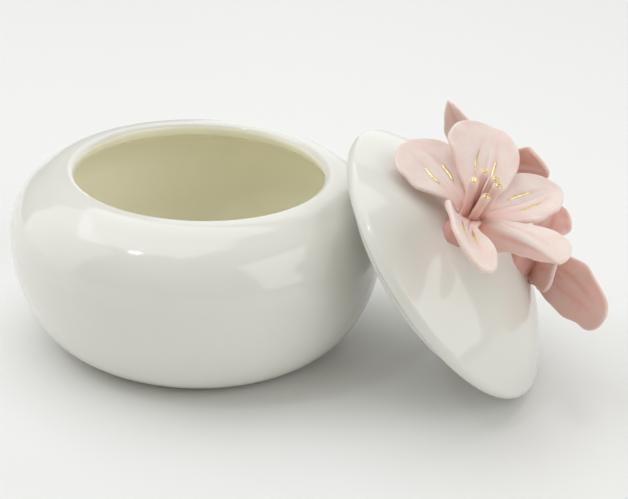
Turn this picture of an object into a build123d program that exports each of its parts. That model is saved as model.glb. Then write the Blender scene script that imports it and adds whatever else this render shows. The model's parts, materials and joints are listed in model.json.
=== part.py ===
from build123d import *
import os
from math import acos, atan2, cos, degrees, radians, sin

# Porcelain powder jar with its lid off: the lid stands on its edge and leans on the jar.
# Millimetres, +Z up, origin on the jar's axis at the underside of its foot.

# --- jar ---
jar_radius = 54.5
jar_height = 51.0
belly_height = 32.0
foot_radius = 36.0
foot_height = 1.2
foot_inset = 1.0
wall = 3.7
floor_thickness = 4.8
mouth_radius = 35.9
lip_radius = 2.0
lip_run = 1.5
lip_rise = 1.4
shoulder_angle = 60.0
neck_angle = 78.0

# --- lid, in its own frame: origin at the centre of its rounded edge, axis W ---
edge_ring_radius = 40.9
edge_radius = 2.4
dome_height = 18.2
lid_wall = 3.4
flange_gap = 1.5
flange_wall = 2.8
flange_depth = 4.4

# --- how the lid leans ---
lean_tilt = 48.0
lean_heading = -11.2
lean_distance = 73.2
floor_clearance = 0.02

# --- flowers, in the lid's frame ---
petal_thickness = 1.3
petal_root = 5.0
root_offset = 2.6
petal_widest = 0.55
petal_lowest = 0.45
heart_radius = 3.4
stamen_radius = 1.2
stamen_start = 2.4
stamen_ring = 1.7
gold_radius = 0.8
gold_length = 0.6
gold_edge = 0.25
core_radius = 3.5
core_height = 22.5

# Each petal: heading about the flower's axis, lift above the flower's plane,
# length, width, and the radius it bows to (negative: its tip bends back).
flowers = {
    "near": {
        "heart": (-12.8, -20.7, 20.3),
        "axis": (-0.47, -0.34, 0.81),
        "petals": [
            (155.0, -1.0, 29.0, 18.0, -60.0),
            (107.0, 12.0, 30.0, 21.0, -60.0),
            (59.0, 4.0, 30.0, 17.0, -60.0),
            (-22.0, 24.0, 30.0, 17.0, -45.0),
            (-64.0, 20.0, 28.0, 15.0, 45.0),
        ],
        "base_radius": 4.8,
        "stamen_share": 1.0,
    },
    "low": {
        "heart": (12.0, 3.0, 20.3),
        "axis": (0.64, 0.64, 0.42),
        "petals": [
            (-38.0, 16.0, 28.5, 18.0, -45.0),
            (-58.0, -4.0, 11.5, 16.0, -45.0),
            (-178.0, 40.0, 18.0, 22.0, 60.0),
            (98.0, 57.0, 20.0, 13.0, -45.0),
            (28.0, 54.0, 21.0, 14.0, -45.0),
        ],
        "base_radius": 8.0,
        "stamen_share": 0.5,
    },
    "far": {
        "heart": (-13.0, 16.0, 20.5),
        "axis": (-0.12, 0.9, 0.42),
        "petals": [
            (-160.0, -6.0, 26.0, 9.0, -60.0),
            (-120.0, -12.0, 15.5, 14.0, -60.0),
            (-70.0, -11.0, 22.0, 11.0, -60.0),
            (0.0, 38.0, 22.0, 14.0, -60.0),
            (125.0, 42.0, 20.0, 14.0, -60.0),
        ],
        "base_radius": 7.5,
        "stamen_share": 0.5,
    },
}
# Each stamen: heading about the flower's axis, lean away from the axis, full length.
stamens = [
    (0.0, 2.0, 12.0),
    (72.0, 1.0, 11.8),
    (144.0, 7.0, 12.0),
    (216.0, 11.0, 12.0),
    (288.0, 9.0, 10.0),
]

os.makedirs("parts", exist_ok=True)


def save(piece, name):
    """Label a finished piece and write it as its own STEP."""
    piece.label = name
    export_step(piece, f"parts/{name}.step")


# --- the lid's frame: U runs down the slope, V is level, W is the lid's axis ---
tilt = radians(lean_tilt)
heading = radians(lean_heading)
lid_origin = Vector(
    lean_distance * cos(heading),
    lean_distance * sin(heading),
    edge_ring_radius * sin(tilt) + edge_radius + floor_clearance,
)
lid_u = Vector(cos(tilt) * cos(heading), cos(tilt) * sin(heading), -sin(tilt))
lid_w = Vector(sin(tilt) * cos(heading), sin(tilt) * sin(heading), cos(tilt))
lid_v = lid_w.cross(lid_u)


def lid_direction(local):
    """A direction given in the lid's frame, in the part's frame."""
    u, v, w = local
    return lid_u * u + lid_v * v + lid_w * w


def lid_plane(origin, x_dir, z_dir):
    """A plane given in the lid's frame, in the part's frame."""
    return Plane(
        origin=lid_origin + lid_direction(origin),
        x_dir=lid_direction(x_dir),
        z_dir=lid_direction(z_dir),
    )


# --- jar bowl: a full belly on a low flat foot, a rounded lip, an even wall ---
outer_foot = (foot_radius + foot_inset, foot_height)
shoulder_rx = jar_radius - mouth_radius - lip_radius - lip_run
shoulder_ry = jar_height - lip_rise - belly_height
crest = (mouth_radius + lip_radius, jar_height)
inner_rx = jar_radius - wall - crest[0]
inner_ry = shoulder_ry - wall
inner_floor = foot_radius - foot_inset

with BuildPart() as jar_bowl:
    with BuildSketch(Plane.XZ):
        with BuildLine():
            Polyline((0, 0), (foot_radius, 0), (foot_radius, foot_height), outer_foot)
            EllipticalCenterArc(
                (outer_foot[0], belly_height),
                jar_radius - outer_foot[0],
                belly_height - foot_height,
                start_angle=-90,
                arc_size=90,
            )
            shoulder = EllipticalCenterArc(
                (jar_radius - shoulder_rx, belly_height),
                shoulder_rx,
                shoulder_ry,
                start_angle=0,
                arc_size=shoulder_angle,
            )
            Spline(shoulder @ 1, crest, tangents=[shoulder % 1, (-1, 0)])
            CenterArc((crest[0], jar_height - lip_radius), lip_radius, 90, 90)
            neck = EllipticalCenterArc(
                (crest[0], belly_height), inner_rx, inner_ry, start_angle=0, arc_size=neck_angle
            )
            Spline(
                (mouth_radius, jar_height - lip_radius),
                neck @ 1,
                tangents=[(0, -1), -(neck % 1)],
            )
            EllipticalCenterArc(
                (inner_floor, belly_height),
                jar_radius - wall - inner_floor,
                belly_height - floor_thickness,
                start_angle=-90,
                arc_size=90,
            )
            Polyline((inner_floor, floor_thickness), (0, floor_thickness), (0, 0))
        make_face()
    revolve(axis=Axis.Z)
save(jar_bowl.part, "jar_bowl")

# --- lid shell: a dome that rolls into a rounded edge, hollow under, with a locating flange ---
dome_radius = (edge_ring_radius**2 + dome_height**2 - edge_radius**2) / (2 * (dome_height - edge_radius))
dome_centre = dome_height - dome_radius
edge_angle = degrees(atan2(-dome_centre, edge_ring_radius))
hollow_radius = dome_radius - lid_wall
flange_outer = mouth_radius - flange_gap
flange_inner = flange_outer - flange_wall
flange_tip = -edge_radius - flange_depth + flange_wall / 2
hollow_angle = degrees(acos(flange_inner / hollow_radius))
hollow_edge = dome_centre + hollow_radius * sin(radians(hollow_angle))

with BuildPart() as lid_shell:
    with BuildSketch(Plane(origin=lid_origin, x_dir=lid_u, z_dir=-lid_v)):
        with BuildLine():
            CenterArc((0, dome_centre), dome_radius, edge_angle, 90 - edge_angle)
            CenterArc((edge_ring_radius, 0), edge_radius, -90, 90 + edge_angle)
            Polyline((edge_ring_radius, -edge_radius), (flange_outer, -edge_radius), (flange_outer, flange_tip))
            CenterArc((flange_outer - flange_wall / 2, flange_tip), flange_wall / 2, 0, -180)
            Line((flange_inner, flange_tip), (flange_inner, hollow_edge))
            CenterArc((0, dome_centre), hollow_radius, hollow_angle, 90 - hollow_angle)
            Line((0, dome_height - lid_wall), (0, dome_height))
        make_face()
    revolve(axis=Axis(lid_origin, lid_w))
save(lid_shell.part, "lid_shell")

# --- bouquet core: the clay ball that the three flowers stand round ---
with BuildPart() as bouquet_core:
    with Locations(lid_origin + lid_w * core_height):
        Sphere(core_radius)
save(bouquet_core.part, "bouquet_core")


# --- flowers: a clay base with a round heart, five petals and five gold-tipped stamens ---
def around(axis, angle):
    """The direction square to a flower's axis at an angle from the lid's U."""
    level = (Vector(1, 0, 0) - axis * axis.X).normalized()
    side = axis.cross(level)
    return level * cos(radians(angle)) + side * sin(radians(angle))


def make_base(heart, axis, base_radius):
    """The clay cone from the dome up to the heart, with a round top."""
    stalk = (axis + Vector(0, 0, 1)).normalized()
    foot = heart - stalk * heart.Z
    with BuildPart() as base:
        with BuildSketch(lid_plane(heart, around(stalk, 0), stalk)):
            Circle(heart_radius)
        with BuildSketch(lid_plane(foot, around(stalk, 0), stalk)):
            Circle(base_radius)
        loft()
        with Locations(lid_origin + lid_direction(heart)):
            Sphere(heart_radius)
        with Locations(lid_origin + lid_w * dome_centre):
            Sphere(dome_radius, mode=Mode.SUBTRACT)
    return base.part


def make_petal(heart, axis, turn, lift, length, width, bow):
    """One thin petal, cut by its outline from a ball's skin."""
    outward = around(axis, turn)
    along = outward * cos(radians(lift)) + axis * sin(radians(lift))
    face_up = axis * cos(radians(lift)) - outward * sin(radians(lift))
    root = heart + along * root_offset
    blade = length - root_offset
    centre = root + along * (petal_lowest * blade) + face_up * bow
    skin = (abs(bow), abs(bow) - petal_thickness)
    with BuildPart() as petal:
        with BuildSketch(lid_plane(root, along, face_up)):
            with BuildLine():
                Line((0, -petal_root / 2), (0, petal_root / 2))
                for side in (1, -1):
                    Spline(
                        (0, side * petal_root / 2),
                        (petal_widest * blade, side * width / 2),
                        (blade, 0),
                        tangents=[(2, side), (1, -2 * side)],
                    )
            make_face()
        extrude(amount=width, both=True)
        with Locations(lid_origin + lid_direction(centre)):
            Sphere(skin[0], mode=Mode.INTERSECT)
            Sphere(skin[1], mode=Mode.SUBTRACT)
    return petal.part


def stamen_plane(heart, axis, turn, lean, distance):
    """The plane square to a stamen, at a distance from where it leaves the heart."""
    outward = around(axis, turn)
    along = axis * cos(radians(lean)) + outward * sin(radians(lean))
    origin = heart + outward * stamen_ring + along * (stamen_start + distance)
    return lid_plane(origin, around(along, 0), along)


for kind, flower in flowers.items():
    heart = Vector(*flower["heart"])
    axis = Vector(*flower["axis"]).normalized()
    save(make_base(heart, axis, flower["base_radius"]), f"{kind}_flower_base")
    for number, shape in enumerate(flower["petals"], 1):
        save(make_petal(heart, axis, *shape), f"{kind}_flower_petal_{number}")
    share = flower["stamen_share"]
    for number, (turn, lean, length) in enumerate(stamens, 1):
        with BuildPart() as stamen:
            with BuildSketch(stamen_plane(heart, axis, turn, lean, 0)):
                Circle(stamen_radius)
            extrude(amount=length * share)
        save(stamen.part, f"{kind}_flower_stamen_{number}")
    with BuildPart() as gold_tips:
        for turn, lean, length in stamens:
            with BuildSketch(stamen_plane(heart, axis, turn, lean, length * share)):
                Circle(gold_radius)
            extrude(amount=gold_length)
        fillet(gold_tips.edges(), radius=gold_edge)
    save(gold_tips.part, f"{kind}_flower_gold_tips")
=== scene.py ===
import json
from math import atan2, cos, log, pi, radians, sin
from typing import NamedTuple

import bpy
import bmesh
import numpy as np
from mathutils import Matrix, Vector


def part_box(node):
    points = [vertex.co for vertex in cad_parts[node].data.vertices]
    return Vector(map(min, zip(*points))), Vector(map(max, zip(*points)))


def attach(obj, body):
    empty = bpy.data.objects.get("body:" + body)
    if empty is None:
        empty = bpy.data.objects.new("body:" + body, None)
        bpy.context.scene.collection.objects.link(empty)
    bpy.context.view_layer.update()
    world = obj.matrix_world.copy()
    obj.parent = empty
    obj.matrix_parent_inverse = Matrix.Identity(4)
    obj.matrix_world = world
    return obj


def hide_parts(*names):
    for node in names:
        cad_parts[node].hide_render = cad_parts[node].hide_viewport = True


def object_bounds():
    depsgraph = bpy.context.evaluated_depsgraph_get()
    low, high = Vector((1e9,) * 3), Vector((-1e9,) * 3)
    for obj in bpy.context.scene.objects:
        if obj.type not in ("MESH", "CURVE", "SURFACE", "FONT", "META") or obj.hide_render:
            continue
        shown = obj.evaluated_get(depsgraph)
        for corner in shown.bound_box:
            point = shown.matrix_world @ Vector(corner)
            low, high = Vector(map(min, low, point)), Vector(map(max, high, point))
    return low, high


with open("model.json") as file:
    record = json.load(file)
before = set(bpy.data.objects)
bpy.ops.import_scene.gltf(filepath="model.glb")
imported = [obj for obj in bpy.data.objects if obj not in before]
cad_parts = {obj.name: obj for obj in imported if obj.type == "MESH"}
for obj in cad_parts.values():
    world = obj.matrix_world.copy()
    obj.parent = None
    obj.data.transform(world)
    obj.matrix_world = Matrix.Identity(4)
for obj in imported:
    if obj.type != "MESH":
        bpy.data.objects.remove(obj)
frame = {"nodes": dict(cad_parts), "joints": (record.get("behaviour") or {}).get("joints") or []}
cad_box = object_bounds()

MM = 0.001  # flower sizes are in millimetres, as in the CAD model

# --- sizes shared with the CAD model, in millimetres and degrees ---
lean_tilt = 48.0
edge_ring_radius = 40.9
edge_radius = 2.4
dome_height = 18.2
jar_height = 51.0
foot_radius = 36.0
foot_height = 1.2
floor_thickness = 4.8
core_radius = 3.5
core_height = 22.5
petal_thickness = 1.3
petal_root = 5.0
root_offset = 2.6
heart_radius = 3.4
stamen_radius = 1.2
stamen_start = 2.4
stamen_ring = 1.7
gold_radius = 0.8

# --- how the clay is worked, in millimetres ---
petal_rows = 56
petal_columns = 41
groove_depth = 0.28
groove_width = 0.35
groove_place = 0.30
stroke_width = 0.36
stroke_height = 0.16
# Painted shade: each petal's underside gets a deeper tone for the shade it turns away from the light.
underside_painted_shade = 0.42  # how much deeper in tone a petal's underside is
base_sink = 1.0  # how far bases and the cup go into the dome
cup_radius = 5.6  # at its foot
cup_gap = 0.25  # left all round the core ball
cup_wall = 0.7
cup_rise = 0.4  # the cup's wall stands this far above the ball's middle


class Petal(NamedTuple):
    """One petal, in millimetres and degrees. A pair of values is for its left and its right half."""

    turn: float  # heading about the flower's axis
    lift: float  # rise above the flower's plane
    length: float
    width: float
    arch: float = 28  # bend back from root to tip
    left: tuple = (4, 30)  # slope of the left half at the midline and at the edge
    right: tuple = (4, 30)
    tip: float | tuple = 0.6  # a small value makes the tip round
    widest: float | tuple = 0.58  # where it is broadest, from root to tip
    twist: float = 0  # turn about its midline from root to tip
    ruffle: float = 0.4  # height of the waves at its edge
    sway: float = 0  # how far its middle bends to the left
    skew: float = 0  # share of the left half's width that the right half takes
    root: float = petal_root  # width at its root
    # painted_shading is painted shade: a deeper tone on a half that lies in shadow; below 0 it is painted
    # light, paler.
    painted_shading: float | tuple = 0  # deeper tone, or paler below 0
    gold: bool = True  # whether it has gold strokes


# Each flower: its heart and axis in the lid's frame, its petals, the radius of its base where it meets
# the dome, and the share of full length that its stamens have.
FLOWERS = {
    "near": {
        "heart": (-12.8, -20.7, 20.3),
        "axis": (-0.47, -0.34, 0.81),
        "petals": [
            Petal(155, -1, 29, 18, arch=26, left=(-24, 4), tip=(0.5, 0.65), widest=0.6, ruffle=0.3,
                  skew=-0.06),
            Petal(107, 12, 30, 21, arch=22, left=(2, 26), right=(2, 22), tip=0.42, widest=(0.6, 0.5),
                  ruffle=0.45, skew=-0.2),
            Petal(59, 4, 30, 17, arch=24, left=(6, 20), right=(2, 34), tip=0.68, widest=(0.56, 0.44),
                  twist=-6, ruffle=0.5, sway=-1.5),
            Petal(-22, 24, 30, 17, arch=24, left=(-4, -10), right=(-80, -120), tip=(0.4, 0.9),
                  widest=(0.66, 0.32), ruffle=0.2, skew=-0.2, painted_shading=(0, 0.4), gold=False),
            Petal(-64, 20, 28, 15, arch=22, left=(10, 30), right=(30, 50), tip=0.45,
                  widest=(0.68, 0.4), ruffle=0.3, sway=-3, skew=0.3, root=9),
        ],
        "base_radius": 4.8,
        "stamen_share": 1.0,
    },
    "low": {
        "heart": (12.0, 3.0, 20.3),
        "axis": (0.64, 0.64, 0.42),
        "petals": [
            Petal(-38, 16, 28.5, 18, arch=34, tip=0.45, widest=0.46, ruffle=0.5, skew=-0.3, root=14),
            Petal(-58, -4, 11.5, 16, arch=16, left=(-5, 15), right=(-5, 15), tip=0.35, widest=0.5,
                  ruffle=0.1, skew=-0.1, root=15),
            Petal(-178, 40, 18, 22, arch=-10, widest=0.45, skew=0.25, root=16, painted_shading=0.2),
            Petal(98, 57, 20, 13, arch=20),
            Petal(28, 54, 21, 14, arch=20),
        ],
        "base_radius": 8.0,
        "stamen_share": 0.5,
    },
    "far": {
        "heart": (-13.0, 16.0, 20.5),
        "axis": (-0.12, 0.9, 0.42),
        "petals": [
            Petal(-160, -6, 26, 10, arch=6, left=(4, 20), right=(4, 20), tip=0.8, widest=0.3, twist=30,
                  ruffle=0.1, sway=-1.5, skew=0.15, root=9, painted_shading=-0.5),
            Petal(-120, -12, 15.5, 14, arch=26, ruffle=0.5),
            Petal(-70, -11, 22, 11, arch=26, ruffle=0.7, painted_shading=0.25),
            Petal(0, 38, 22, 14, arch=20),
            Petal(125, 42, 20, 14, arch=20),
        ],
        "base_radius": 7.5,
        "stamen_share": 0.5,
    },
}
# Each stamen: heading about the flower's axis, lean away from the axis, full length.
STAMENS = [(0, 2, 12.0), (72, 1, 11.8), (144, 7, 12.0), (216, 11, 12.0), (288, 9, 10.0)]

# --- the lid's frame: U down the slope, V level, W the lid's axis ---
level_axis = Vector(next(j for j in frame["joints"] if j["name"] == "lid_level")["axis"])
heading = atan2(level_axis.x, -level_axis.y)
tilt = radians(lean_tilt)
LID_U = np.array([cos(tilt) * cos(heading), cos(tilt) * sin(heading), -sin(tilt)])
LID_W = np.array([sin(tilt) * cos(heading), sin(tilt) * sin(heading), cos(tilt)])
LID_V = np.cross(LID_W, LID_U)
core_low, core_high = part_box("bouquet_core")
LID_ORIGIN = np.array((core_low + core_high) / 2) - LID_W * core_height * MM
dome_radius = (edge_ring_radius**2 + dome_height**2 - edge_radius**2) / (2 * (dome_height - edge_radius))
dome_centre = dome_height - dome_radius


def unit(vector):
    vector = np.asarray(vector, float)
    return vector / np.linalg.norm(vector, axis=-1, keepdims=True)


def to_world(points):
    """Points in the lid's frame, in millimetres, as points in the row frame, in metres."""
    points = np.asarray(points) * MM
    return LID_ORIGIN + points[..., :1] * LID_U + points[..., 1:2] * LID_V + points[..., 2:] * LID_W


def around(axis, angle):
    """The direction square to an axis at an angle from the lid's U."""
    level = unit(np.array([1.0, 0, 0]) - axis * axis[0])
    return level * cos(radians(angle)) + np.cross(axis, level) * sin(radians(angle))


# --- materials ---
def new_material(name):
    material = bpy.data.materials.new(name)
    material.use_nodes = True
    nodes = material.node_tree.nodes
    return material, nodes, material.node_tree.links, nodes["Principled BSDF"]


def noise(nodes, links, scale, detail, source):
    node = nodes.new("ShaderNodeTexNoise")
    node.inputs["Scale"].default_value = scale
    node.inputs["Detail"].default_value = detail
    links.new(source, node.inputs["Vector"])
    return node.outputs["Fac"]


def ramp(nodes, links, source, *stops):
    """A colour ramp over (place, colour) stops; a colour may be one grey number."""
    node = nodes.new("ShaderNodeValToRGB")
    elements = node.color_ramp.elements
    while len(elements) < len(stops):
        elements.new(0.5)
    for element, (place, colour) in zip(elements, stops):
        element.position = place
        grey = (colour, colour, colour) if isinstance(colour, (int, float)) else colour
        element.color = (*grey, 1.0)
    links.new(source, node.inputs["Fac"])
    return node.outputs["Color"]


def mix(nodes, links, factor, first, second, blend="MIX"):
    """Two colours mixed; each is a socket or a colour. A mix node's colour sockets are 6, 7 and out 2."""
    node = nodes.new("ShaderNodeMix")
    node.data_type = "RGBA"
    node.blend_type = blend
    for socket, value in ((node.inputs[0], factor), (node.inputs[6], first), (node.inputs[7], second)):
        if isinstance(value, bpy.types.NodeSocket):
            links.new(value, socket)
        elif isinstance(value, tuple):
            socket.default_value = (*value, 1.0)
        else:
            socket.default_value = value
    return node.outputs[2]


def maths(nodes, links, operation, first, second):
    """One sum of two values; each is a socket or a number."""
    node = nodes.new("ShaderNodeMath")
    node.operation = operation
    for socket, value in zip(node.inputs, (first, second)):
        if isinstance(value, bpy.types.NodeSocket):
            links.new(value, socket)
        else:
            socket.default_value = value
    return node.outputs[0]


def bump(nodes, links, shader, height, distance, strength):
    node = nodes.new("ShaderNodeBump")
    node.inputs["Distance"].default_value = distance
    node.inputs["Strength"].default_value = strength
    links.new(height, node.inputs["Height"])
    links.new(node.outputs["Normal"], shader.inputs["Normal"])


def object_place(nodes):
    return nodes.new("ShaderNodeTexCoord").outputs["Object"]


def glaze_material(name, outside, inside, is_jar):
    """Clear glaze over cream porcelain, with faint pooling and pinholes.

    The jar's inside is painted brighter and warmer, as painted light for bounce light and light through
    the wall, and bare clay shows at its foot.
    """
    material, nodes, links, shader = new_material(name)
    glaze_rough = 0.13
    place = object_place(nodes)
    cloud = noise(nodes, links, 28.0, 3.0, place)
    colour = mix(nodes, links, ramp(nodes, links, cloud, (0.35, 0.0), (0.7, 1.0)), outside,
                 tuple(c * 0.97 for c in outside))
    if is_jar:
        split = nodes.new("ShaderNodeSeparateXYZ")
        links.new(place, split.inputs[0])
        flat = nodes.new("ShaderNodeCombineXYZ")
        links.new(split.outputs[0], flat.inputs[0])
        links.new(split.outputs[1], flat.inputs[1])
        length = nodes.new("ShaderNodeVectorMath")
        length.operation = "LENGTH"
        links.new(flat.outputs[0], length.inputs[0])
        radial = length.outputs["Value"]
        normal = nodes.new("ShaderNodeNewGeometry").outputs["Normal"]
        facing = nodes.new("ShaderNodeVectorMath")
        facing.operation = "DOT_PRODUCT"
        links.new(flat.outputs[0], facing.inputs[0])
        links.new(normal, facing.inputs[1])
        inward = ramp(nodes, links, maths(nodes, links, "MULTIPLY", facing.outputs["Value"], 14.0),
                      (0.0, 1.0), (0.02, 0.0))
        basin_floor = maths(nodes, links, "LESS_THAN", radial, foot_radius * MM)
        below_rim = maths(nodes, links, "LESS_THAN", split.outputs[2], (jar_height - 1.0) * MM)
        above_foot = maths(nodes, links, "GREATER_THAN", split.outputs[2], 0.9 * floor_thickness * MM)
        is_inside = maths(nodes, links, "MULTIPLY", maths(nodes, links, "MAXIMUM", inward, basin_floor),
                          maths(nodes, links, "MULTIPLY", below_rim, above_foot))
        # Painted light: the inside glaze is brighter and warmer, for bounce light inside the jar and light
        # through its wall.
        colour = mix(nodes, links, is_inside, colour, inside)
        edge_height = maths(nodes, links, "MULTIPLY", cloud, 0.6 * MM)
        bare = maths(nodes, links, "LESS_THAN",
                     maths(nodes, links, "SUBTRACT", split.outputs[2], edge_height), foot_height * MM)
        clay = ramp(nodes, links, noise(nodes, links, 900.0, 4.0, place),
                    (0.3, (0.42, 0.30, 0.18)), (0.7, (0.56, 0.44, 0.28)))
        colour = mix(nodes, links, bare, colour, clay)
        rough = mix(nodes, links, bare, (glaze_rough,) * 3, (0.7,) * 3)
        links.new(rough, shader.inputs["Roughness"])
    else:
        shader.inputs["Roughness"].default_value = glaze_rough
    pits = ramp(nodes, links, noise(nodes, links, 700.0, 2.0, place), (0.70, 1.0), (0.78, 0.0))
    links.new(colour, shader.inputs["Base Color"])
    height = maths(nodes, links, "ADD", noise(nodes, links, 60.0, 2.0, place),
                   maths(nodes, links, "MULTIPLY", pits, 0.15))
    bump(nodes, links, shader, height, 0.00012, 0.5)
    shader.inputs["IOR"].default_value = 1.5
    shader.inputs["Coat Weight"].default_value = 0.35
    shader.inputs["Coat Roughness"].default_value = 0.05
    return material


def clay_material(name, pale, deep):
    """Bisque clay: paler at the edges, deeper pink by painted shade in the throat, grooves and undersides,
    fine brushed and dusty grain.
    """
    material, nodes, links, shader = new_material(name)
    place = object_place(nodes)
    attribute = nodes.new("ShaderNodeAttribute")
    attribute.attribute_name = "depth"
    cloud = ramp(nodes, links, noise(nodes, links, 180.0, 3.0, place), (0.3, 0.0), (0.75, 1.0))
    # The per-point depth value carries the painted shade set on each piece.
    colour = mix(nodes, links, attribute.outputs["Fac"], pale, deep)
    colour = mix(nodes, links, maths(nodes, links, "MULTIPLY", cloud, 0.25), colour, deep)
    speck = ramp(nodes, links, noise(nodes, links, 2600.0, 2.0, place), (0.25, 0.94), (0.6, 1.0))
    colour = mix(nodes, links, 1.0, colour, speck, "MULTIPLY")
    links.new(colour, shader.inputs["Base Color"])
    shader.inputs["Roughness"].default_value = 0.46
    shader.inputs["Subsurface Weight"].default_value = 0.5
    shader.inputs["Subsurface Radius"].default_value = (1.0, 0.6, 0.5)
    shader.inputs["Subsurface Scale"].default_value = 0.002
    fine = noise(nodes, links, 1500.0, 3.0, place)
    broad = noise(nodes, links, 220.0, 2.0, place)
    height = maths(nodes, links, "ADD", maths(nodes, links, "MULTIPLY", fine, 0.25), broad)
    bump(nodes, links, shader, height, 0.00015, 0.6)
    return material


def gold_material():
    """Fired gold lustre: bright, a little uneven, darker where it is thin."""
    material, nodes, links, shader = new_material("gold_lustre")
    place = object_place(nodes)
    patch = noise(nodes, links, 900.0, 3.0, place)
    colour = ramp(nodes, links, patch, (0.3, (0.72, 0.50, 0.16)), (0.55, (0.98, 0.80, 0.38)))
    links.new(colour, shader.inputs["Base Color"])
    shader.inputs["Metallic"].default_value = 1.0
    links.new(ramp(nodes, links, patch, (0.3, 0.34), (0.7, 0.2)), shader.inputs["Roughness"])
    bump(nodes, links, shader, patch, 0.00008, 0.5)
    return material


CREAM = (0.80, 0.79, 0.735)
# Painted light: brighter and warmer than the outside glaze, standing in for bounce light and light through
# the wall.
CREAM_INSIDE_PAINTED_LIGHT = (0.97, 0.94, 0.775)
jar_glaze = glaze_material("jar_glaze", CREAM, CREAM_INSIDE_PAINTED_LIGHT, is_jar=True)
lid_glaze = glaze_material("lid_glaze", CREAM, CREAM, is_jar=False)
petal_clay = clay_material("petal_clay", (0.86, 0.75, 0.705), (0.72, 0.36, 0.285))
heart_clay = clay_material("heart_clay", (0.76, 0.48, 0.41), (0.62, 0.30, 0.24))
stamen_clay = clay_material("stamen_clay", (0.86, 0.66, 0.60), (0.74, 0.38, 0.31))
gold_lustre = gold_material()


# --- meshes ---
def add_piece(name, points, faces, material, replaced, depth=None):
    """A closed mesh that rides on the lid. Points are in the lid's frame, in millimetres."""
    mesh = bpy.data.meshes.new(name)
    mesh.from_pydata([tuple(p) for p in to_world(points).reshape(-1, 3)], [], faces)
    if depth is not None:
        values = mesh.attributes.new("depth", "FLOAT", "POINT")
        values.data.foreach_set("value", np.asarray(depth, np.float32).ravel())
    work = bmesh.new()
    work.from_mesh(mesh)
    bmesh.ops.remove_doubles(work, verts=work.verts, dist=2e-6)
    bmesh.ops.dissolve_degenerate(work, edges=work.edges, dist=1e-7)
    bmesh.ops.recalc_face_normals(work, faces=work.faces)
    work.to_mesh(mesh)
    work.free()
    mesh.shade_smooth()
    mesh.materials.append(material)
    piece = bpy.data.objects.new(name, mesh)
    bpy.context.scene.collection.objects.link(piece)
    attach(piece, "lid")
    if replaced:
        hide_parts(replaced)


def grid_faces(rows, columns, start=0, wrap=False):
    """Quads over a grid of points, each row joined to the next, and round each row if it wraps."""
    faces = []
    for i in range(rows - 1):
        for j in range(columns if wrap else columns - 1):
            k = (j + 1) % columns
            a, b = start + i * columns + j, start + i * columns + k
            faces.append((a, b, b + columns, a + columns))
    return faces


def curl(reach, start, end):
    """How far out and up a strip goes that turns evenly from one slope to another."""
    change = np.where(np.abs(end - start) < 1e-4, 1e-4, end - start)
    now = start + change * reach
    return (np.sin(now) - np.sin(start)) / change, (np.cos(start) - np.cos(now)) / change


def by_half(t, pair):
    """A value for each point: the first of the pair on the left half, the second on the right."""
    left, right = np.broadcast_to(pair, 2)
    return np.where(t > 0, left, right)


def petal_surface(petal, seed, s, t):
    """The petal's middle surface for s from root to tip and t from edge to edge: along, across, up."""
    blade = petal.length - root_offset
    fine = np.linspace(0, 1, 240)
    slope = radians(petal.arch) * (1 - 2 * fine) / 2 * (0.6 + 0.8 * fine)
    slope = slope + radians(24) * np.exp(-fine / 0.10)
    step = blade / (len(fine) - 1)
    run = np.cumsum(np.cos(slope)) * step
    rise = np.cumsum(np.sin(slope)) * step
    run, rise = run - run[0], rise - rise[0]
    drop = atan2(rise[-1], run[-1])
    stretch = blade / np.hypot(run[-1], rise[-1])
    x = (run * cos(drop) + rise * sin(drop)) * stretch
    z = (rise * cos(drop) - run * sin(drop)) * stretch
    angle = np.interp(s, fine, slope) - drop
    spine_x, spine_z = np.interp(s, fine, x), np.interp(s, fine, z)

    widest, tip = by_half(t, petal.widest), by_half(t, petal.tip)
    ease = np.sin(pi * np.clip(s, 0, 1) ** (log(0.5) / np.log(widest)))
    ease = ease ** np.where(s < widest, 1.0, tip)
    wave = 1 + 0.03 * np.sin(9 * s + seed) + 0.02 * np.sin(21 * s + 2 * seed)
    half = np.hypot(petal.width / 2 * ease * wave, petal.root / 2 * (1 - s) ** 2)

    fade = np.clip(s / 0.35, 0, 1) ** 0.7 * (0.55 + 0.45 * np.clip((1 - s) / 0.4, 0, 1))
    half = half * (1 - petal.skew * np.sign(t))
    reach = np.abs(t)
    start, end = (by_half(t, pair) for pair in zip(petal.left, petal.right))
    out, up = curl(reach, np.radians(start) * fade, np.radians(end) * fade)
    out, up = out * half * np.sign(t), up * half
    crease = 0.06 * half * np.clip((0.9 - s) / 0.5, 0, 1)
    up = up - crease * (1 - np.clip(reach / 0.12, 0, 1)) ** 2
    ruffle = np.sin(2 * pi * 1.7 * s + seed + 1.3 * np.sign(t))
    ruffle = ruffle + 0.5 * np.sin(2 * pi * 3.9 * s + 2.1 * seed)
    up = up + petal.ruffle * ruffle * reach**3 * np.clip(4 * s * (1 - s), 0, 1)
    spin = radians(petal.twist) * s
    out, up = out * np.cos(spin) - up * np.sin(spin), out * np.sin(spin) + up * np.cos(spin)
    out = out + petal.sway * np.sin(pi * s)
    return np.stack([spine_x - up * np.sin(angle), out, spine_z + up * np.cos(angle)], -1), half


def petal_axes(flower, petal):
    """The petal's origin and its along, left and up directions, in the lid's frame."""
    heart, axis = np.array(flower["heart"]), unit(flower["axis"])
    outward = around(axis, petal.turn)
    lift = radians(petal.lift)
    along = outward * cos(lift) + axis * sin(lift)
    up = axis * cos(lift) - outward * sin(lift)
    return heart + along * root_offset, along, np.cross(up, along), up


def placed(points, axes):
    origin, along, left, up = axes
    return origin + points[..., :1] * along + points[..., 1:2] * left + points[..., 2:] * up


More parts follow.
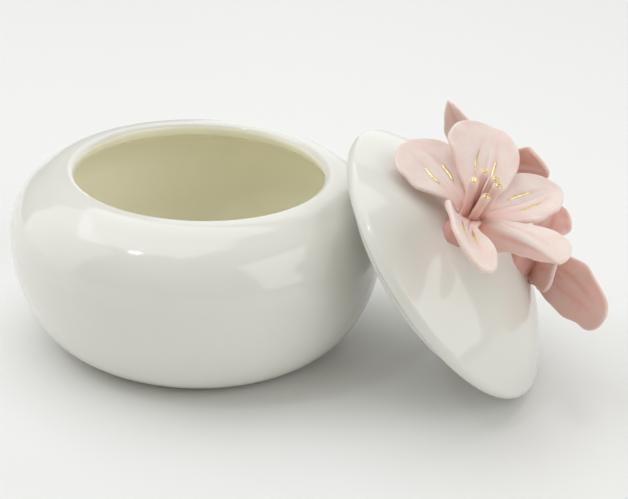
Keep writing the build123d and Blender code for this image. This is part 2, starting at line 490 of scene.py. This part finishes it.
def surface_frame(petal, seed, s, t):
    """The middle surface, its normal and the direction across it."""
    nudge = 0.004
    place, half = petal_surface(petal, seed, s, t)
    ahead, _ = petal_surface(petal, seed, np.clip(s + nudge, 0, 1), t)
    behind, _ = petal_surface(petal, seed, np.clip(s - nudge, 0, 1), t)
    leftward, _ = petal_surface(petal, seed, s, np.clip(t + nudge * 5, -1, 1))
    rightward, _ = petal_surface(petal, seed, s, np.clip(t - nudge * 5, -1, 1))
    across = unit(leftward - rightward + np.array([0, 1e-6, 0]))
    normal = unit(np.cross(ahead - behind, across))
    return place, normal, across, half


def groove(s, t):
    """Two pressed lines, one each side of the midline, that fade at both ends."""
    window = np.clip((s - 0.22) / 0.12, 0, 1) * np.clip((0.86 - s) / 0.25, 0, 1)
    place = groove_place * (1.15 - 0.5 * s)
    return window, np.abs(np.abs(t) - place)


def petal_seed(kind, number):
    """What sets one petal's waves apart from another's."""
    return number * 1.7 + len(kind)


def make_petal(kind, flower, number, petal):
    """One pressed and pinched petal with rounded edges and two grooves."""
    name, seed = f"{kind}_flower_petal_{number}", petal_seed(kind, number)
    rows = np.linspace(0, 1, petal_rows)
    columns = np.linspace(-1, 1, petal_columns)
    s, t = np.meshgrid(1 - (1 - rows) ** 1.7, np.sin(columns * pi / 2), indexing="ij")
    place, normal, _, half = surface_frame(petal, seed, s, t)
    blade = petal.length - root_offset
    inset = np.minimum((1 - np.abs(t)) * half, (1 - s) * blade)
    round_edge = np.sqrt(np.clip(1 - (1 - np.clip(inset / (petal_thickness / 2), 0, 1)) ** 2, 0, 1))
    thick = petal_thickness / 2 * round_edge * (1.15 - 0.35 * np.clip(inset / 3, 0, 1))
    window, distance = groove(s, t)
    pressed = groove_depth * window * np.exp(-(distance * half / groove_width) ** 2)
    axes = petal_axes(flower, petal)
    top = placed(place + normal * (thick - pressed)[..., None], axes)
    under = placed(place - normal * thick[..., None], axes)
    count = petal_rows * petal_columns
    faces = grid_faces(petal_rows, petal_columns)
    faces += [tuple(reversed(f)) for f in grid_faces(petal_rows, petal_columns, count)]
    faces += [(j, count + j, count + j + 1, j + 1) for j in range(petal_columns - 1)]
    # Painted shade: a deeper pink towards the throat, in the hollow where the petals close in round the
    # heart.
    throat = np.clip(1 - s / 0.42, 0, 1) ** 1.6 * 0.75
    # The petal is paler within about a millimetre of its edge.
    paler_edges = np.clip(1 - inset / 1.2, 0, 1) * 0.12
    # Painted shade, or painted light below 0, set per petal half and faded near the midline.
    painted_shading = by_half(t, petal.painted_shading) * np.clip(4 * np.abs(t), 0, 1)
    # Painted shade along the two grooves, where the pressed lines fall into shadow; the edges are paler.
    shade = throat + 0.28 * window * np.exp(-(distance * half / 0.7) ** 2) - paler_edges + painted_shading
    # The underside gets painted shade added on top of the top face's value.
    depth = np.clip(np.concatenate([shade.ravel(), shade.ravel() + underside_painted_shade]), 0, 1)
    points = np.concatenate([top.reshape(-1, 3), under.reshape(-1, 3)])
    add_piece(name + "_clay", points, faces, petal_clay, name, depth)


def tube(centres, sides, ups, widths, heights, ring):
    """Points of a closed tapered strip: one ring of points about each centre."""
    angle = np.linspace(0, 2 * pi, ring, endpoint=False)
    return (centres[:, None] + sides[:, None] * (np.cos(angle)[:, None] * widths[:, None, None])
            + ups[:, None] * (np.sin(angle)[:, None] * heights[:, None, None])).reshape(-1, 3)


def make_strokes(kind, flower):
    """The gold strokes brushed along the grooves of a flower's petals, as one piece."""
    points, faces = [], []
    count, ring = 16, 10
    for number, petal in enumerate(flower["petals"], 1):
        if not petal.gold:
            continue
        seed, axes = petal_seed(kind, number), petal_axes(flower, petal)
        turned = (np.zeros(3), *axes[1:])
        for side in (-1, 1):
            begin = 0.34 + 0.03 * np.sin(seed + side)
            s = np.linspace(begin, begin + 0.27 + 0.03 * np.sin(3 * seed - side), count)
            t = side * groove_place * (1.15 - 0.5 * s)
            place, normal, across, _ = surface_frame(petal, seed, s, t)
            place = place + normal * (petal_thickness * 0.4 - groove_depth + stroke_height * 0.7)
            centres = placed(place, axes)
            taper = np.sin(pi * np.linspace(0, 1, count)) ** 0.55
            start = sum(len(p) for p in points)
            points.append(tube(centres, placed(across, turned), placed(normal, turned),
                               stroke_width * taper, stroke_height * taper, ring))
            faces += grid_faces(count, ring, start, wrap=True)
    add_piece(f"{kind}_flower_gold_strokes", np.concatenate(points), faces, gold_lustre,
              None)


def make_base(kind, flower):
    """The lumpy clay cone that luted the flower to the dome, with its round heart."""
    heart, stalk = np.array(flower["heart"]), unit(unit(flower["axis"]) + np.array([0, 0, 1.0]))
    sphere_centre = np.array([0, 0, dome_centre])
    offset = heart - sphere_centre
    along = offset @ stalk
    reach = along - np.sqrt(along**2 - offset @ offset + (dome_radius - base_sink) ** 2)
    rows, ring = 26, 40
    angle = np.linspace(0, 360, ring, endpoint=False)
    points, shares = [], []
    for row in np.linspace(0, 1, rows):
        share, cap = max(1 - row / 0.7, 0), max((row - 0.7) / 0.3, 0)
        level = heart_radius * sin(cap * pi / 2) - reach * share
        flare = (flower["base_radius"] - heart_radius) * share**1.5
        radius = heart_radius * cos(cap * pi / 2) + flare
        for a in angle:
            lump = 1 + 0.06 * sin(radians(3 * a) + 5 * row) + 0.04 * sin(radians(7 * a) + 9 * row)
            points.append(heart + stalk * level + around(stalk, a) * radius * lump)
            shares.append(share)
    shares = np.array(shares)[:, None]
    from_centre = np.array(points) - sphere_centre
    distance = np.linalg.norm(from_centre, axis=1, keepdims=True)
    draped = distance + (dome_radius - base_sink * shares - distance) * shares**3
    draped = np.maximum(draped, dome_radius - base_sink)
    points = sphere_centre + from_centre / distance * draped
    faces = grid_faces(rows, ring, wrap=True)
    faces.append(tuple(range(ring)))
    depth = np.full(rows * ring, 0.4)
    add_piece(f"{kind}_flower_base_clay", points, faces, heart_clay,
              f"{kind}_flower_base", depth)


def make_cup():
    """The clay cup on the dome's top that the core ball sits in, with a thin gap all round."""
    inner, ring, wall_rows = core_radius + cup_gap, 60, 9
    outer = inner + cup_wall
    outline = [(0.01, dome_height - base_sink), (cup_radius, dome_height - base_sink)]
    low, high = dome_height + 0.1, core_height + cup_rise
    for share in np.linspace(0, 1, wall_rows):
        outline.append((outer + (cup_radius - outer) * (1 - share) ** 2, low + (high - low) * share))
    outline.append((inner + cup_wall / 2, high + 0.25))
    for angle in np.linspace(3, -90, 14):
        outline.append((max(inner * cos(radians(angle)), 0.01), core_height + inner * sin(radians(angle))))
    points = []
    for row, (radius, height) in enumerate(outline):
        uneven = 1 if 1 <= row <= wall_rows else 0
        for a in np.linspace(0, 2 * pi, ring, endpoint=False):
            lump = 1 + (0.05 * sin(5 * a) + 0.02 * sin(3 * a)) * uneven
            points.append((radius * lump * cos(a), radius * lump * sin(a), height))
    points = np.array(points)
    depth = np.full(len(points), 0.5)
    add_piece("core_cup_clay", points, grid_faces(len(outline), ring, wrap=True), heart_clay,
              None, depth)


def stamen_line(flower, turn, lean, distance):
    """A point along a stamen and the stamen's direction."""
    heart, axis = np.array(flower["heart"]), unit(flower["axis"])
    outward = around(axis, turn)
    along = axis * cos(radians(lean)) + outward * sin(radians(lean))
    return heart + outward * stamen_ring + along * (stamen_start + distance), along


def rod_points(flower, turn, lean, stations, ring, seed):
    """Rings of points about a stamen at (distance, radius) stations, a little uneven."""
    points = []
    for distance, radius in stations:
        centre, along = stamen_line(flower, turn, lean, distance)
        for a in np.linspace(0, 360, ring, endpoint=False):
            uneven = 1 + 0.05 * sin(radians(2 * a) + seed) + 0.03 * sin(distance * 1.1 + seed)
            points.append(centre + around(along, a) * radius * uneven)
    return points


def make_stamen(kind, flower, number, turn, lean, length):
    """A rolled clay rod, thicker at its cut end, with a small dished face."""
    r, ring = stamen_radius, 20
    body = [(d, r * (1.02 + 0.1 * (d / length) ** 2)) for d in np.linspace(-2.5, length - 0.35, 14)]
    end = [(length - 0.12, r * 0.97), (length, r * 0.84), (length, r * 0.6), (length - 0.1, r * 0.3),
           (length - 0.12, 0.01)]
    stations = [(-2.5, 0.01)] + body + end
    points = rod_points(flower, turn, lean, stations, ring, number)
    # Painted shade: each rod is deeper in tone towards its root, down in the heart's hollow, and pale at
    # its end.
    depth = np.repeat([np.clip(0.75 - 0.12 * d, 0.05, 1) for d, _ in stations], ring)
    name = f"{kind}_flower_stamen_{number}"
    add_piece(name + "_clay", np.array(points), grid_faces(len(stations), ring, wrap=True),
              stamen_clay, name, depth)


def make_gold_tips(kind, flower):
    """The gold drop on the cut end of every stamen of a flower, as one piece."""
    points, faces, ring = [], [], 20
    for number, (turn, lean, length) in enumerate(STAMENS, 1):
        g, length = gold_radius, length * flower["stamen_share"]
        stations = [(length - 0.15, 0.01), (length - 0.15, g * 0.9), (length + 0.08, g),
                    (length + 0.22, g * 0.86), (length + 0.26, g * 0.6), (length + 0.18, g * 0.3),
                    (length + 0.16, 0.01)]
        faces += grid_faces(len(stations), ring, len(points), wrap=True)
        points += rod_points(flower, turn, lean, stations, ring, number)
    add_piece(f"{kind}_flower_gold_drops", np.array(points), faces, gold_lustre,
              f"{kind}_flower_gold_tips")


# --- CAD nodes that keep their shape ---
for node, material in (("jar_bowl", jar_glaze), ("lid_shell", lid_glaze), ("bouquet_core", heart_clay)):
    mesh = frame["nodes"][node].data
    mesh.materials.clear()
    mesh.materials.append(material)

# --- the flowers ---
make_cup()
for kind, flower in FLOWERS.items():
    make_base(kind, flower)
    for number, petal in enumerate(flower["petals"], 1):
        make_petal(kind, flower, number, petal)
    for number, (turn, lean, length) in enumerate(STAMENS, 1):
        make_stamen(kind, flower, number, turn, lean, length * flower["stamen_share"])
    make_gold_tips(kind, flower)
    make_strokes(kind, flower)


# --- the stage: a pale floor in a white light tent ---
def make_floor(size):
    """A square floor at the height that the jar stands at."""
    material, _, _, shader = new_material("pale_floor")
    shader.inputs["Base Color"].default_value = (0.86, 0.86, 0.85, 1)
    shader.inputs["Roughness"].default_value = 0.6
    mesh = bpy.data.meshes.new("floor")
    h = size / 2
    mesh.from_pydata([(-h, -h, 0), (h, -h, 0), (h, h, 0), (-h, h, 0)], [], [(0, 1, 2, 3)])
    mesh.materials.append(material)
    plane = bpy.data.objects.new("floor", mesh)
    plane.location = (0, 0, cad_box[0][2])
    bpy.context.scene.collection.objects.link(plane)


def area_light(name, size, location, power):
    """A square light of a given side, in metres, aimed at the jar."""
    light = bpy.data.lights.new(name, "AREA")
    light.size = size
    light.energy = power
    light.color = (0.93, 0.96, 1.0)
    lamp = bpy.data.objects.new(name, light)
    lamp.location = location
    lamp.rotation_euler = (jar_centre - Vector(location)).to_track_quat("-Z", "Y").to_euler()
    bpy.context.scene.collection.objects.link(lamp)


make_floor(30.0)

world = bpy.data.worlds.new("light_tent")
bpy.context.scene.world = world
world.use_nodes = True
world.node_tree.nodes["Background"].inputs["Color"].default_value = (1.0, 0.975, 0.87, 1)
world.node_tree.nodes["Background"].inputs["Strength"].default_value = 0.385

jar_centre = Vector((0.034, 0.0, 0.025))
area_light("softbox_top", 1.2, (-0.25, 0.18, 1.1), 6.8)
area_light("softbox_right", 0.9, (0.85, -0.4, 0.5), 3.8)
area_light("softbox_left", 1.0, (-0.9, 0.05, 0.45), 3.0)
area_light("softbox_back", 1.8, (0.6, 1.5, 0.65), 8.0)
area_light("lamp", 0.05, (-0.38, -0.30, 0.78), 0.4)

# --- camera ---
camera_elevation = 25.86
camera_distance = 0.3566
camera_roll = 3.48
camera_target = Vector((0.0340, 0.0, 0.0267))
lens_mm = 68.8
e, roll = radians(camera_elevation), radians(camera_roll)
forward = Vector((0, cos(e), -sin(e)))
level_up = Vector((0, sin(e), cos(e)))
right = Vector((1, 0, 0)) * cos(roll) + level_up * sin(roll)
up = level_up * cos(roll) - Vector((1, 0, 0)) * sin(roll)
camera_data = bpy.data.cameras.new("camera")
camera_data.lens = lens_mm
camera_data.sensor_width = 36.0
camera_data.clip_start = 0.01
camera = bpy.data.objects.new("camera", camera_data)
camera.matrix_world = Matrix.Translation(camera_target - forward * camera_distance) @ Matrix(
    (right, up, -forward)
).transposed().to_4x4()
bpy.context.scene.collection.objects.link(camera)
bpy.context.scene.camera = camera
bpy.context.scene.view_settings.view_transform = "Standard"
